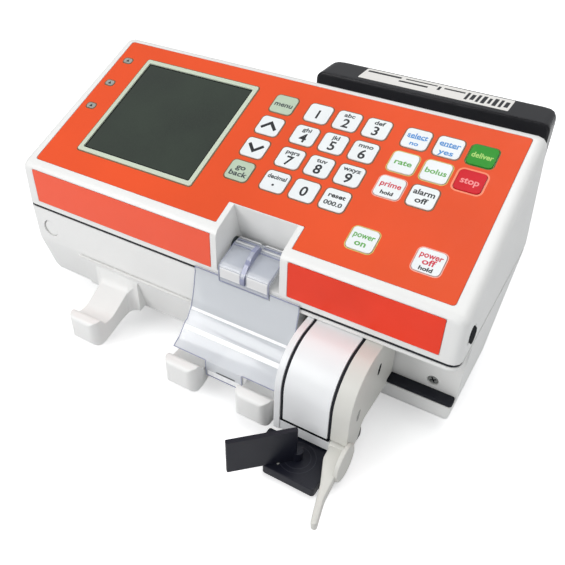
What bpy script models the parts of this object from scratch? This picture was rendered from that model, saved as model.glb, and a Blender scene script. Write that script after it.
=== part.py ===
"""Syringe infusion pump, one named object for each separate piece.

Metres, +Z up. +X is the operator's right and -Y is towards the operator. The origin is at the
middle of the bounding box's underside, on the surface that the feet stand on. Sizes are written
in millimetres and turned into metres where a mesh is made.
"""

import math

import bmesh
import bpy
from mathutils import Matrix, Vector

MM = 0.001
GAP = 0.3  # clearance left between neighbouring pieces

# Case: its side profile is one closed polygon of (y, z), drawn out along X. Both housings narrow
# away from the seam by the draft, a length across for each unit of height.
CASE_WIDTH = 309.0
CASE_ROUNDING = 6.0
DRAFT = 0.034
WALL = 3.0
FRONT_Y = -41.4
FRONT_BEND_Z = 43.7
BASE_Z = 10.0
SEAM_Z = 71.5
SEAM_HEIGHT = 2.0
REAR_TOP = (81.1, 154.5)
REAR_MIDDLE = (95.2, SEAM_Z)
REAR_BOTTOM_Y = 44.0
FRONT_BOTTOM_Y = -32.4
SIDE_X = CASE_WIDTH / 2

# Keypad panel: a plane tilted back from its front edge, with its own (across, up, out) frame.
PANEL_TILT = math.radians(22.9)
PANEL_WIDTH = 288.0
PANEL_HEIGHT = 116.7
PANEL_FRONT = Vector((-PANEL_WIDTH / 2, -35.0, 105.5))
RIM = 0.2
OVERLAY_THICKNESS = 0.9
POCKET_FLOOR = -1.3

# Keys: rows are 19.05 mm apart, as on a standard key matrix.
ROW_PITCH = 19.05
COLUMN_PITCH = 19.7
TOP_ROW = 95.4
KEY_SIZE = (15.6, 14.6)
KEY_RADIUS = 2.6
KEY_LOW, KEY_HIGH = -0.5, 0.5
POWER_ROW = 19.5
KEY_COLUMNS = {
    138.1: ("menu", "up", "down", "back"),
    162.9: ("1", "4", "7", "decimal"),
    162.9 + COLUMN_PITCH: ("2", "5", "8", "0"),
    162.9 + 2 * COLUMN_PITCH: ("3", "6", "9", "reset"),
    227.4: ("no", "rate", "prime"),
    227.4 + COLUMN_PITCH: ("yes", "bolus", "alarm_off"),
    227.4 + 2 * COLUMN_PITCH: ("start", "stop"),
}
POWER_KEYS = {228.4: "power_on", 266.4: "power_off"}

# Display and indicator lamps, in the panel's frame.
LCD = (23.3, 16.9, 114.8, 104.1)
LCD_RIM = 3.0
LAMPS = ((8.0, 98.7), (8.0, 75.9), (8.0, 53.1))
LAMP_SIZE = (6.6, 4.4)

# Notch in the panel's front edge, where the barrel clamp swings.
NOTCH_X = (4.0, 46.9)
NOTCH_FLOOR_Z = 76.0
NOTCH_BACK_Y = -14.0
NOTCH_FRAME = 4.0
NOTCH_DEPTH_ON_PANEL = 15.8
CLAMP_X = (6.4, 41.0)
CLAMP_PIVOT = (-21.5, 84.0)
PIN_RADIUS = 1.5

# Front labels lie in shallow pockets on each side of the notch.
LABEL_Z = (76.4, 100.5)
LABELS_X = {"front_label_left": (-142.7, -0.5), "front_label_right": (52.1, 142.7)}

# Recess at the lower right, where the plunger driver travels.
RECESS_X = 58.2
RECESS_BACK_Y = -15.3
RECESS_Z = (22.7, 68.1)
SILL_Y = -23.2
RECESS_SCREW = (137.5, 31.0)
PLUG_PLACE = (-137.0, 55.7)
SOUND_SLOT = (SIDE_X, -26.6, 84.6)
SOUND_SLOT_SIZE = (13.5, 2.8, 9.0)
PLUG_RADIUS = 6.0
INLET_PLACE = (34.0, 38.0)
INLET_SIZE = (24.0, 16.0)

# Drive train: the tube and the lead screw share one axis along X.
DRIVE_Y, DRIVE_Z = -25.2, 46.4
TUBE_RADIUS = 6.5
TUBE_X = (-66.0, 69.8)
SCREW_RADIUS = 3.6
SCREW_X = (-117.7, 60.0)

# Syringe cradle: a band on the front and three J-shaped arms.
ARM_WIDTH = 23.4
ARM_FLARE = 7.0
ARM_TIP_Y = -82.2
ARM_CORNER = 6.5
ARMS_X = (-78.8, -0.2, 51.3)
BAND_X = (-112.0, 57.6)
BAND_Z = (14.5, 43.2)
TRAY_X = (-11.8, 61.2)
TRAY_TOP_Z = 74.0
TAB_X = (12.4, 38.8)

# Plunger driver: slices along X that share one side profile.
HEAD_BACK_Y = -16.9
HEAD_NOSE_Y = -78.4
HEAD_TOP_Z = 67.6
HEAD_BOTTOM_Z = 19.0
HEAD_NOSE_RADIUS = 27.0
FRAME_X = (66.1, 70.3)
LEFT_SEAL_X = (70.6, 71.8)
COVER_X = (72.1, 100.7)
RIGHT_SEAL_X = (101.0, 102.2)
SIDE_COVER_X = (102.5, 113.0)
LEVER_PIVOT = (-76.5, 15.5)
LEVER_TILT = math.radians(8.0)
FLIPPER_PIVOT = (88.8, -89.8)
FLIPPER_LENGTH = 40.6
FLIPPER_HEADING = math.radians(224.2)

# Carrying handle behind the case: a crossbar on two legs with feet on the case's back.
HANDLE_X = (-7.9, 148.0)
HANDLE_Y = (101.1, 124.6)
HANDLE_TOP_Z = 148.9
HANDLE_GRIP = 19.0
HANDLE_LEG = 15.0
HANDLE_FOOT_Z = (88.0, 106.0)

ARC_STEPS = 4
LARGE_RADIUS = 12.0  # arcs from this radius up get more steps
IDENTITY = Matrix.Identity(4)
ALONG_X = Matrix(((0, 0, 1), (1, 0, 0), (0, 1, 0))).to_4x4()  # outline in (y, z), depth along X
FACING_FRONT = Matrix.Rotation(math.pi / 2, 4, "X")  # outline in (x, z), depth towards -Y
ON_PANEL = Matrix.Translation(PANEL_FRONT) @ Matrix.Rotation(PANEL_TILT, 4, "X")

COLOURS = {
    "case_white": ((0.84, 0.85, 0.86), 0.42, 0.0),
    "driver_white": ((0.86, 0.87, 0.88), 0.38, 0.0),
    "orange_overlay": ((0.85, 0.10, 0.03), 0.45, 0.0),
    "key_white": ((0.86, 0.87, 0.87), 0.5, 0.0),
    "key_grey": ((0.50, 0.61, 0.47), 0.5, 0.0),
    "key_green": ((0.03, 0.32, 0.05), 0.5, 0.0),
    "key_red": ((0.65, 0.01, 0.03), 0.5, 0.0),
    "lcd_rim": ((0.55, 0.62, 0.50), 0.4, 0.0),
    "lcd_glass": ((0.06, 0.08, 0.065), 0.25, 0.0),
    "lamp_lens": ((0.55, 0.57, 0.55), 0.3, 0.0),
    "clear_plastic": ((0.85, 0.87, 0.92), 0.12, 0.0),
    "black_plastic": ((0.025, 0.027, 0.04), 0.45, 0.0),
    "dark_rubber": ((0.03, 0.035, 0.04), 0.8, 0.0),
    "nylon": ((0.6, 0.6, 0.55), 0.5, 0.0),
    "steel": ((0.6, 0.6, 0.6), 0.3, 1.0),
    "brass": ((0.7, 0.5, 0.2), 0.35, 1.0),
    "circuit_board": ((0.02, 0.2, 0.08), 0.55, 0.0),
    "battery_wrap": ((0.05, 0.1, 0.35), 0.5, 0.0),
}


# ---------------------------------------------------------------- scene and materials

def clear_scene():
    for obj in list(bpy.data.objects):
        bpy.data.objects.remove(obj, do_unlink=True)


def new_collection(name):
    collection = bpy.data.collections.new(name)
    bpy.context.scene.collection.children.link(collection)
    return collection


def new_material(name):
    colour, roughness, metallic = COLOURS[name]
    material = bpy.data.materials.new(name)
    material.use_nodes = True
    shader = material.node_tree.nodes["Principled BSDF"]
    shader.inputs["Base Color"].default_value = (*colour, 1.0)
    shader.inputs["Roughness"].default_value = roughness
    shader.inputs["Metallic"].default_value = metallic
    return material


clear_scene()
PUMP = new_collection("infusion_pump")
CUTTERS = new_collection("cutters")
MATERIALS = {name: new_material(name) for name in COLOURS}


# ---------------------------------------------------------------- outlines

def fillet(before, corner, after, radius):
    """Points of the arc that rounds a corner, or the corner itself when the radius is 0."""
    corner = Vector(corner)
    if radius <= 0:
        return [tuple(corner)]
    back = (Vector(before) - corner).normalized()
    ahead = (Vector(after) - corner).normalized()
    half = back.angle(ahead) / 2
    centre = corner + (back + ahead).normalized() * radius / math.sin(half)
    start = corner + back * radius / math.tan(half) - centre
    turn = math.pi - 2 * half
    if back.x * ahead.y - back.y * ahead.x > 0:
        turn = -turn
    quarter = ARC_STEPS * (3 if radius >= LARGE_RADIUS else 1)
    steps = max(2, round(quarter * abs(turn) / (math.pi / 2)))
    points = []
    for i in range(steps + 1):
        angle = turn * i / steps
        x = start.x * math.cos(angle) - start.y * math.sin(angle)
        y = start.x * math.sin(angle) + start.y * math.cos(angle)
        points.append((centre.x + x, centre.y + y))
    return points


def rounded(points, radius=0.0):
    """A closed outline with rounded corners. A point may carry its own radius as a third number."""
    outline = []
    for i, point in enumerate(points):
        own = point[2] if len(point) > 2 else radius
        before, after = points[i - 1][:2], points[(i + 1) % len(points)][:2]
        outline += fillet(before, point[:2], after, own)
    return outline


def rectangle(low_x, low_y, high_x, high_y, radius=0.0):
    return rounded([(low_x, low_y), (high_x, low_y), (high_x, high_y), (low_x, high_y)], radius)


def centred(place, size, radius=0.0, grow=0.0):
    half_x, half_y = size[0] / 2 + grow, size[1] / 2 + grow
    return rectangle(place[0] - half_x, place[1] - half_y, place[0] + half_x, place[1] + half_y, radius)


def circle(place, radius, segments=32):
    turns = (2 * math.pi * i / segments for i in range(segments))
    return [(place[0] + radius * math.cos(a), place[1] + radius * math.sin(a)) for a in turns]


def inset(points, distances):
    """A counter-clockwise polygon with each side moved inwards by its own distance."""
    lines = []
    for i, distance in enumerate(distances):
        start, end = Vector(points[i][:2]), Vector(points[(i + 1) % len(points)][:2])
        along = (end - start).normalized()
        lines.append((start + Vector((-along.y, along.x)) * distance, along))
    corners = []
    for i, (start, along) in enumerate(lines):
        previous, direction = lines[i - 1]
        cross = direction.x * along.y - direction.y * along.x
        offset = start - previous
        reach = (offset.x * along.y - offset.y * along.x) / cross
        corner = previous + direction * reach
        corners.append((corner.x, corner.y, *points[i][2:]))
    return corners


# ---------------------------------------------------------------- solids

def finish_mesh(mesh, smooth):
    if smooth:
        mesh.shade_smooth()
        mesh.set_sharp_from_angle(angle=math.radians(35))


def place(name, mesh, frame, material, smooth=True):
    """An object for a piece, or for a cutter when it has no material."""
    obj = bpy.data.objects.new(name, mesh)
    if material:
        mesh.materials.append(MATERIALS[material])
        PUMP.objects.link(obj)
    else:
        CUTTERS.objects.link(obj)
        obj.hide_render = True
        obj.display_type = "WIRE"
    finish_mesh(mesh, smooth)
    obj.matrix_world = frame
    return obj


def plate(name, outlines, low, high, frame=IDENTITY, material=None):
    """Flat outlines, the first one solid and the others holes, drawn out from low to high."""
    curve = bpy.data.curves.new(name, "CURVE")
    curve.dimensions = "2D"
    curve.fill_mode = "BOTH"
    curve.extrude = (high - low) / 2 * MM
    for outline in outlines:
        spline = curve.splines.new("POLY")
        spline.points.add(len(outline) - 1)
        for point, (x, y) in zip(spline.points, outline):
            point.co = (x * MM, y * MM, 0.0, 1.0)
        spline.use_cyclic_u = True
    flat = bpy.data.objects.new(name, curve)
    bpy.context.scene.collection.objects.link(flat)
    bpy.context.view_layer.update()
    drawn = flat.evaluated_get(bpy.context.evaluated_depsgraph_get())
    mesh = bpy.data.meshes.new_from_object(drawn)
    bpy.data.objects.remove(flat, do_unlink=True)
    bpy.data.curves.remove(curve)
    mesh.name = name
    mesh.materials.clear()

    solid = bmesh.new()
    solid.from_mesh(mesh)
    bmesh.ops.remove_doubles(solid, verts=solid.verts, dist=1e-6)
    if len(outlines) == 1:
        bmesh.ops.dissolve_limit(
            solid, angle_limit=math.radians(0.5), verts=solid.verts, edges=solid.edges)
    bmesh.ops.recalc_face_normals(solid, faces=solid.faces)
    solid.to_mesh(mesh)
    solid.free()
    middle = Matrix.Translation((0, 0, (low + high) / 2 * MM))
    return place(name, mesh, in_metres(frame) @ middle, material)


def in_metres(frame):
    scaled = frame.copy()
    scaled.translation = frame.translation * MM
    return scaled


def box(name, low, high, frame=IDENTITY, material=None):
    solid = bmesh.new()
    bmesh.ops.create_cube(solid, size=1.0)
    size = [(h - l) * MM for l, h in zip(low, high)]
    middle = [(h + l) / 2 * MM for l, h in zip(low, high)]
    bmesh.ops.scale(solid, vec=size, verts=solid.verts)
    mesh = bpy.data.meshes.new(name)
    solid.to_mesh(mesh)
    solid.free()
    return place(name, mesh, in_metres(frame) @ Matrix.Translation(middle), material, smooth=False)


def bevel(obj, width, segments=3, angle=40):
    modifier = obj.modifiers.new("rounded edges", "BEVEL")
    modifier.width = width * MM
    modifier.segments = segments
    modifier.limit_method = "ANGLE"
    modifier.angle_limit = math.radians(angle)
    return obj


def boolean(obj, other, operation):
    modifier = obj.modifiers.new(other.name, "BOOLEAN")
    modifier.object = other
    modifier.operation = operation
    modifier.solver = "EXACT"


def cut(obj, *cutters):
    for cutter in cutters:
        boolean(obj, cutter, "DIFFERENCE")
    return obj


def join(obj, *others):
    for other in others:
        boolean(obj, other, "UNION")
    return obj


def slice_x(name, outline, x, material=None, holes=()):
    """An outline in (y, z) drawn out along X from x[0] to x[1]."""
    return plate(name, [outline, *holes], x[0], x[1], ALONG_X, material)


def carry(name, point, pieces):
    """An empty on a joint's axis that the joint's pieces hang from."""
    empty = bpy.data.objects.new(name, None)
    PUMP.objects.link(empty)
    empty.location = [value * MM for value in point]
    bpy.context.view_layer.update()
    for piece in pieces:
        piece.parent = empty
        piece.matrix_parent_inverse = empty.matrix_world.inverted()
    return empty


# ---------------------------------------------------------------- case

def panel_height(y, out=RIM):
    """Height of the plane that lies `out` above the panel's own plane, over a place y."""
    over = y - PANEL_FRONT.y
    return PANEL_FRONT.z + over * math.tan(PANEL_TILT) + out / math.cos(PANEL_TILT)


CASE_PROFILE = [
    (FRONT_BOTTOM_Y, BASE_Z, 7.0),
    (REAR_BOTTOM_Y, BASE_Z, 12.0),
    (*REAR_MIDDLE, 14.0),
    (REAR_TOP[0], panel_height(REAR_TOP[0]), 8.0),
    (FRONT_Y, panel_height(FRONT_Y), 6.2),
    (FRONT_Y, FRONT_BEND_Z, 16.0),
]
CASE_INSETS = [WALL, WALL, WALL, WALL - POCKET_FLOOR + RIM, WALL, WALL]


def drafted(name, outline, reach, side, material=None):
    """A profile drawn out to both sides by `reach` at the seam. It narrows upwards when side is 1."""
    body = slice_x(name, outline, (-reach, reach), material)
    for vertex in body.data.vertices:
        height = vertex.co.y / MM - SEAM_Z
        vertex.co.z *= 1.0 - side * height * DRAFT / reach
    return body


def case_body(name, side, material):
    return bevel(drafted(name, rounded(CASE_PROFILE), SIDE_X, side, material), CASE_ROUNDING)


def case_cavity(name, side, *walls):
    inside = rounded(inset(CASE_PROFILE, CASE_INSETS))
    return cut(drafted(name, inside, SIDE_X - WALL, side), *walls)


def notch_outline(grow=0.0):
    top_z = 125.0
    return [
        (FRONT_Y - 9.0, NOTCH_FLOOR_Z - grow),
        (NOTCH_BACK_Y + grow, NOTCH_FLOOR_Z - grow),
        (NOTCH_BACK_Y + grow, CLAMP_PIVOT[1]),
        (NOTCH_BACK_Y - 11.0 + grow, top_z),
        (FRONT_Y - 9.0, top_z),
    ]


def overlay_outline(grow=0.0):
    """The panel's outline with the notch's white frame left out of its front edge."""
    left = NOTCH_X[0] - NOTCH_FRAME - PANEL_FRONT.x - grow
    right = NOTCH_X[1] + NOTCH_FRAME - PANEL_FRONT.x + grow
    back = NOTCH_DEPTH_ON_PANEL
    return rounded([
        (-grow, -grow, 2.0), (left + 2 * grow, -grow, 0.6), (left + 2 * grow, back - grow, 0.6),
        (right - 2 * grow, back - grow, 0.6), (right - 2 * grow, -grow, 0.6),
        (PANEL_WIDTH + grow, -grow, 2.0),
        (PANEL_WIDTH + grow, PANEL_HEIGHT + grow, 2.0), (-grow, PANEL_HEIGHT + grow, 2.0),
    ])


def make_upper_housing():
    housing = case_body("upper_housing", 1, "case_white")
    below = box("below_seam", (-200, -200, -50), (200, 200, SEAM_Z + SEAM_HEIGHT / 2))
    notch_walls = slice_x("notch_walls", notch_outline(WALL), (NOTCH_X[0] - WALL, NOTCH_X[1] + WALL))
    notch = slice_x("notch", notch_outline(), NOTCH_X)
    pocket = plate("overlay_pocket", [overlay_outline(GAP)], POCKET_FLOOR, 12.0, ON_PANEL)
    groove = plate("lamp_groove", [lamp_bar(GAP)], POCKET_FLOOR - 1.7, 2.0, ON_PANEL)
    pin_hole = slice_x("clamp_pin_hole", circle(CLAMP_PIVOT, PIN_RADIUS + GAP, 16),
                       (NOTCH_X[0] - WALL + 1.0, NOTCH_X[1] + WALL - 1.0))
    length, height, depth = SOUND_SLOT_SIZE
    sound_slot = box("sound_slot", (-depth, -height / 2, -length / 2), (depth, height / 2, length / 2),
                     Matrix.Translation(SOUND_SLOT) @ Matrix.Rotation(PANEL_TILT + math.pi / 2, 4, "X"))
    cut(housing, below, case_cavity("upper_cavity", 1, notch_walls), notch, pocket, groove, pin_hole)
    for name, (low, high) in LABELS_X.items():
        outline = rectangle(low - GAP, LABEL_Z[0] - GAP, high + GAP, LABEL_Z[1] + GAP)
        cut(housing, plate(name + "_pocket", [outline], -FRONT_Y - 0.8, -FRONT_Y + 5, FACING_FRONT))
    cut(housing, sound_slot)


def sill_outline():
    """What the sill's front is cut back by: a flat face with a rounded lower edge."""
    low, far = -20.0, -90.0
    return [(far, low), (SILL_Y + 4.0, low), (SILL_Y + 4.0, BASE_Z), (SILL_Y + 1.2, BASE_Z + 1.2),
            (SILL_Y, BASE_Z + 4.0), (SILL_Y, RECESS_Z[0] + 1.0), (far, RECESS_Z[0] + 1.0)]


def make_lower_housing():
    housing = case_body("lower_housing", -1, "case_white")
    above = box("above_seam", (-200, -200, SEAM_Z - SEAM_HEIGHT / 2), (200, 200, 250))
    end = SIDE_X + 20
    recess_wall = box("recess_walls", (RECESS_X - WALL, -90, RECESS_Z[0] - WALL),
                      (end, RECESS_BACK_Y + WALL, 100))
    sill_wall = box("sill_walls", (RECESS_X - WALL, -90, -20), (end, SILL_Y + WALL, RECESS_Z[0]))
    recess = box("recess", (RECESS_X, -90, RECESS_Z[0]), (end, RECESS_BACK_Y, RECESS_Z[1]))
    sill = slice_x("sill", sill_outline(), (RECESS_X, end))
    bush_hole = slice_x("bush_hole", circle((DRIVE_Y, DRIVE_Z), 9.0), (RECESS_X - 8, RECESS_X + 1))
    screw_hole = plate("recess_screw_hole", [circle(RECESS_SCREW, 3.6, 16)],
                       -RECESS_BACK_Y - 2.0, -RECESS_BACK_Y + 5, FACING_FRONT)
    plug_hole = plate("plug_hole", [circle(PLUG_PLACE, PLUG_RADIUS + GAP, 24)], 30, 50, FACING_FRONT)
    inlet_hole = slice_x("inlet_hole", centred(INLET_PLACE, INLET_SIZE, 2.0), (-SIDE_X - 5, -SIDE_X + 10))
    cavity = case_cavity("lower_cavity", -1, recess_wall, sill_wall)
    cut(housing, above, cavity, recess, sill, bush_hole, screw_hole, plug_hole, inlet_hole)


def make_gasket():
    edge = 0.3
    outer = rectangle(-SIDE_X + edge, FRONT_Y + edge, SIDE_X - edge, REAR_MIDDLE[0] - 3.0, CASE_ROUNDING)
    inner = rectangle(-SIDE_X + 2.7, FRONT_Y + 2.7, SIDE_X - 2.7, REAR_MIDDLE[0] - 5.4, CASE_ROUNDING - 2.4)
    half = SEAM_HEIGHT / 2 - GAP
    plate("housing_gasket", [outer, inner], SEAM_Z - half, SEAM_Z + half, IDENTITY, "dark_rubber")


def make_front_trim():
    for name, (low, high) in LABELS_X.items():
        outline = rectangle(low, LABEL_Z[0], high, LABEL_Z[1], 0.8)
        plate(name, [outline], -FRONT_Y - 0.5, -FRONT_Y + 0.1, FACING_FRONT, "orange_overlay")
    plug = plate("screw_plug", [circle(PLUG_PLACE, PLUG_RADIUS, 24)], 34.0, 40.6, FACING_FRONT, "case_white")
    bevel(plug, 0.8, 2)
    strip = rectangle(RECESS_X + 1, SILL_Y + 0.3, SIDE_X - 1.8, RECESS_BACK_Y - 0.4, 1.8)
    low = RECESS_Z[0] + GAP
    plate("guide_strip", [strip], low, low + 2.4, IDENTITY, "dark_rubber")


def make_feet():
    for side, name in ((-1, "foot_left"), (1, "foot_right")):
        outline = centred((side * 124.0, 18.0), (16, 48), 5)
        bevel(plate(name, [outline], 0.0, BASE_Z - GAP, IDENTITY, "dark_rubber"), 1.2, 2)


def make_power_inlet():
    """A two-pin socket: a flange in the wall, a shell behind it and a floor that holds the pins."""
    y, z = INLET_PLACE
    mouth = centred(INLET_PLACE, (17.0, 9.0), 2.5)
    shell_outline = centred(INLET_PLACE, (20.0, 12.0), 2.0)
    flange = slice_x("power_inlet", centred(INLET_PLACE, INLET_SIZE, 1.6, -0.4), (-SIDE_X + 1.4, -SIDE_X + 5.0),
                     "black_plastic", [mouth])
    shell = slice_x("inlet_shell", shell_outline, (-SIDE_X + 4.0, -SIDE_X + 20.0), None, [mouth])
    floor = slice_x("inlet_floor", shell_outline, (-SIDE_X + 17.0, -SIDE_X + 21.0))
    pins = [slice_x("inlet_pin", circle((y + side * 4.3, z), 1.2, 12), (-SIDE_X + 5.5, -SIDE_X + 18.0))
            for side in (-1, 1)]
    join(flange, shell, floor, *pins)


# ---------------------------------------------------------------- keypad panel

def key_places():
    """Name and (across, up) place of each key on the panel."""
    places = {}
    for across, names in KEY_COLUMNS.items():
        for row, name in enumerate(names):
            places["key_" + name] = (across, TOP_ROW - row * ROW_PITCH)
    for across, name in POWER_KEYS.items():
        places["key_" + name] = (across, POWER_ROW)
    return places


def lamp_bar(grow=0.0):
    low, high = LAMPS[-1][1] - 4.0, LAMPS[0][1] + 4.0
    across = LAMPS[0][0]
    return rectangle(across - 1.6 - grow, low - grow, across + 1.6 + grow, high + grow)


def make_overlay(places):
    holes = [centred(spot, KEY_SIZE, KEY_RADIUS + GAP, GAP) for spot in places.values()]
    holes.append(rectangle(LCD[0] - GAP, LCD[1] - GAP, LCD[2] + GAP, LCD[3] + GAP, 1.5 + GAP))
    holes += [centred(spot, LAMP_SIZE, 1.6 + GAP, GAP) for spot in LAMPS]
    plate("keypad_overlay", [overlay_outline(), *holes], -OVERLAY_THICKNESS, 0.0, ON_PANEL, "orange_overlay")


def make_keys(places):
    colours = {"key_start": "key_green", "key_stop": "key_red", "key_menu": "key_grey", "key_back": "key_grey"}
    for name, (across, up) in places.items():
        frame = ON_PANEL @ Matrix.Translation((across, up, 0))
        outline = centred((0, 0), KEY_SIZE, KEY_RADIUS)
        plate(name, [outline], KEY_LOW, KEY_HIGH, frame, colours.get(name, "key_white"))


def make_display():
    inner = (LCD[0] + LCD_RIM, LCD[1] + LCD_RIM, LCD[2] - LCD_RIM, LCD[3] - LCD_RIM)
    hole = rectangle(*inner, 1.0)
    plate("lcd_frame", [rectangle(*LCD, 1.5), hole], -OVERLAY_THICKNESS, 0.5, ON_PANEL, "lcd_rim")
    glass = rectangle(inner[0] + GAP, inner[1] + GAP, inner[2] - GAP, inner[3] - GAP, 0.8)
    plate("lcd_window", [glass], -OVERLAY_THICKNESS, -0.2, ON_PANEL, "lcd_glass")


def make_lamps():
    bar = plate("indicator_light_pipe", [lamp_bar()], POCKET_FLOOR - 1.4, POCKET_FLOOR - 0.1, ON_PANEL, "lamp_lens")
    for i, spot in enumerate(LAMPS):
        lens = plate(f"lens_{i}", [centred(spot, (3.0, 3.0), 0.5)], POCKET_FLOOR - 1.0, -0.4, ON_PANEL)
        cap = plate(f"lens_cap_{i}", [centred(spot, LAMP_SIZE, 1.6)], -0.8, 0.2, ON_PANEL)
        join(bar, lens, cap)


# ---------------------------------------------------------------- barrel clamp

def make_barrel_clamp():
    pivot_y, pivot_z = CLAMP_PIVOT
    lip_y = FRONT_Y - 1.8
    flap = rounded([
        (pivot_y, pivot_z - 4.5, 3.0), (pivot_y + 4.5, pivot_z - 4.5, 4.0),
        (pivot_y + 4.5, pivot_z + 4.5, 4.0), (pivot_y - 3.5, pivot_z + 4.2, 2.0),
        (lip_y, 82.0, 3.0), (lip_y, 70.2, 0.6), (lip_y + 1.5, 70.2, 0.4), (lip_y + 1.5, 79.0, 2.0),
        (pivot_y - 5.0, pivot_z + 0.8, 2.0),
    ])
    hole = circle(CLAMP_PIVOT, PIN_RADIUS + GAP, 16)
    clamp = slice_x("barrel_clamp", flap, CLAMP_X, "clear_plastic", [hole])
    rib = rounded([
        (pivot_y - 3.0, pivot_z + 2.5, 0.5), (pivot_y - 4.0, pivot_z + 8.0, 3.0),
        (pivot_y - 13.0, pivot_z + 6.5, 6.0), (lip_y - 1.6, 80.0, 4.0), (lip_y - 1.4, 74.0, 1.0),
        (lip_y + 1.0, 74.0, 0.3), (lip_y + 1.0, 81.0, 2.0), (pivot_y - 8.0, pivot_z + 2.0, 2.0),
    ])
    middle = (CLAMP_X[0] + CLAMP_X[1]) / 2
    join(clamp, slice_x("clamp_rib", rib, (middle - 1.2, middle + 1.2)))
    reach = (NOTCH_X[0] - WALL + 1.3, NOTCH_X[1] + WALL - 1.3)
    slice_x("clamp_pin", circle(CLAMP_PIVOT, PIN_RADIUS, 12), reach, "steel")
    carry("barrel_clamp_hinge", (middle, *CLAMP_PIVOT), [clamp])


# ---------------------------------------------------------------- syringe cradle

def front_at(z):
    """Y of the lower housing's front at a height: upright above the bend, sloping back below it."""
    below = max(0.0, FRONT_BEND_Z - z)
    return FRONT_Y + below / (FRONT_BEND_Z - BASE_Z) * (FRONT_BOTTOM_Y - FRONT_Y)


def arm_outline(slim=0.0):
    """Side profile of an arm: it curves down from the bend, forms a valley and ends in a raised tip."""
    root_top, root_low, tip_y = BAND_Z[1] - 0.6, 17.5, ARM_TIP_Y - 0.1
    return rounded([
        (front_at(root_low) - 1.0, root_low + slim, 0.0), (front_at(root_top) - 1.0, root_top - slim, 0.0),
        (-45.6, 32.6 - slim, 9.0), (-64.0, 22.2 - slim, 9.0), (-71.5, 22.2 - slim, 3.0),
        (-74.6, 27.6, 3.5), (tip_y, 27.6, 3.6), (tip_y, 7.8, 5.0), (-73.0, 7.8 + slim, 6.0),
        (-56.0, 13.5 + slim, 12.0),
    ])


def flare_outline(x):
    """Plan of an arm's root, which widens towards the case in a quarter arc on each side."""
    start_y, half = FRONT_Y - 2.2 - ARM_FLARE, ARM_WIDTH / 2 - 0.5
    turns = [math.pi / 2 * step / ARC_STEPS for step in range(ARC_STEPS + 1)]
    side = [(half + ARM_FLARE * (1 - math.cos(a)), start_y + ARM_FLARE * math.sin(a)) for a in turns]
    side.append((side[-1][0], FRONT_Y + 10.0))
    return [(x + across, y) for across, y in side] + [(x - across, y) for across, y in reversed(side)]


def make_cradle():
    (low_z, high_z), proud = BAND_Z, 2.2
    band = [
        (front_at(low_z) - GAP, low_z), (front_at(high_z) - GAP, high_z),
        (front_at(high_z) - GAP - proud, high_z), (front_at(low_z) - GAP - proud, low_z),
    ]
    cradle = slice_x("syringe_cradle", rounded(band[::-1], 0.0), BAND_X, "case_white")
    for i, x in enumerate(ARMS_X):
        left, right = x - ARM_WIDTH / 2, x + ARM_WIDTH / 2
        arm = slice_x(f"cradle_arm_{i}", arm_outline(), (left, right))
        plan = rounded([(left - 0.1, ARM_TIP_Y, ARM_CORNER), (right + 0.1, ARM_TIP_Y, ARM_CORNER),
                        (right + 0.1, -10.0, 0.0), (left - 0.1, -10.0, 0.0)])
        boolean(arm, plate(f"arm_plan_{i}", [plan], 0.0, 60.0), "INTERSECT")
        reach = ARM_WIDTH / 2 + ARM_FLARE
        right = x + reach if x + reach < BAND_X[1] else x  # the driver passes close to the last arm
        flare = slice_x(f"arm_flare_{i}", arm_outline(0.25), (x - reach, right))
        boolean(flare, plate(f"flare_plan_{i}", [flare_outline(x)], 5.0, 60.0), "INTERSECT")
        join(cradle, bevel(arm, 3.0, 3, angle=50), flare)


def make_tray():
    thick = 1.8
    upper = [(-42.6, 69.2), (-45.6, 56.2), (-48.8, 46.4), (-53.7, 39.6), (-57.0, 38.3),
             (-62.9, 31.9), (-69.5, 28.4)]
    under = [(y + 0.7 * thick, z - 0.75 * thick) for y, z in upper]
    under[0] = (front_at(69.2) - GAP, 69.2)
    tray = slice_x("barrel_tray", upper + under[::-1], TRAY_X, "clear_plastic")
    raised = [(-42.6, 68.0), (-42.6, TRAY_TOP_Z), (front_at(69.2) - GAP, TRAY_TOP_Z), (front_at(69.2) - GAP, 68.0)]
    for i, x in enumerate(((TRAY_X[0], CLAMP_X[0] - 0.6), (CLAMP_X[1] + 0.6, TRAY_X[1]))):
        join(tray, slice_x(f"tray_corner_{i}", raised, x))
    tab = rounded([(-69.5, 28.4), (-69.7, 27.0), (-69.3, 15.8), (-67.7, 15.8), (-67.9, 27.8), (-68.2, 28.4)])
    join(tray, slice_x("tray_tab", tab, TAB_X))


# ---------------------------------------------------------------- plunger driver

def head_outline(grow=0.0, bottom=HEAD_BOTTOM_Z):
    """Side profile of the driver: flat back, round nose and flat front, cleared over the sill."""
    back, nose, top = HEAD_BACK_Y + min(grow, 0.0), HEAD_NOSE_Y - grow, HEAD_TOP_Z + min(grow, 0.0)
    step_y, step_z = SILL_Y - 1.5, RECESS_Z[0] + 4.0
    return rounded([
        (nose, bottom, 1.0), (step_y, bottom, 1.0), (step_y, step_z, 0.5), (back, step_z, 1.0),
        (back, top, 3.0), (nose, top, HEAD_NOSE_RADIUS + grow),
    ])


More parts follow.
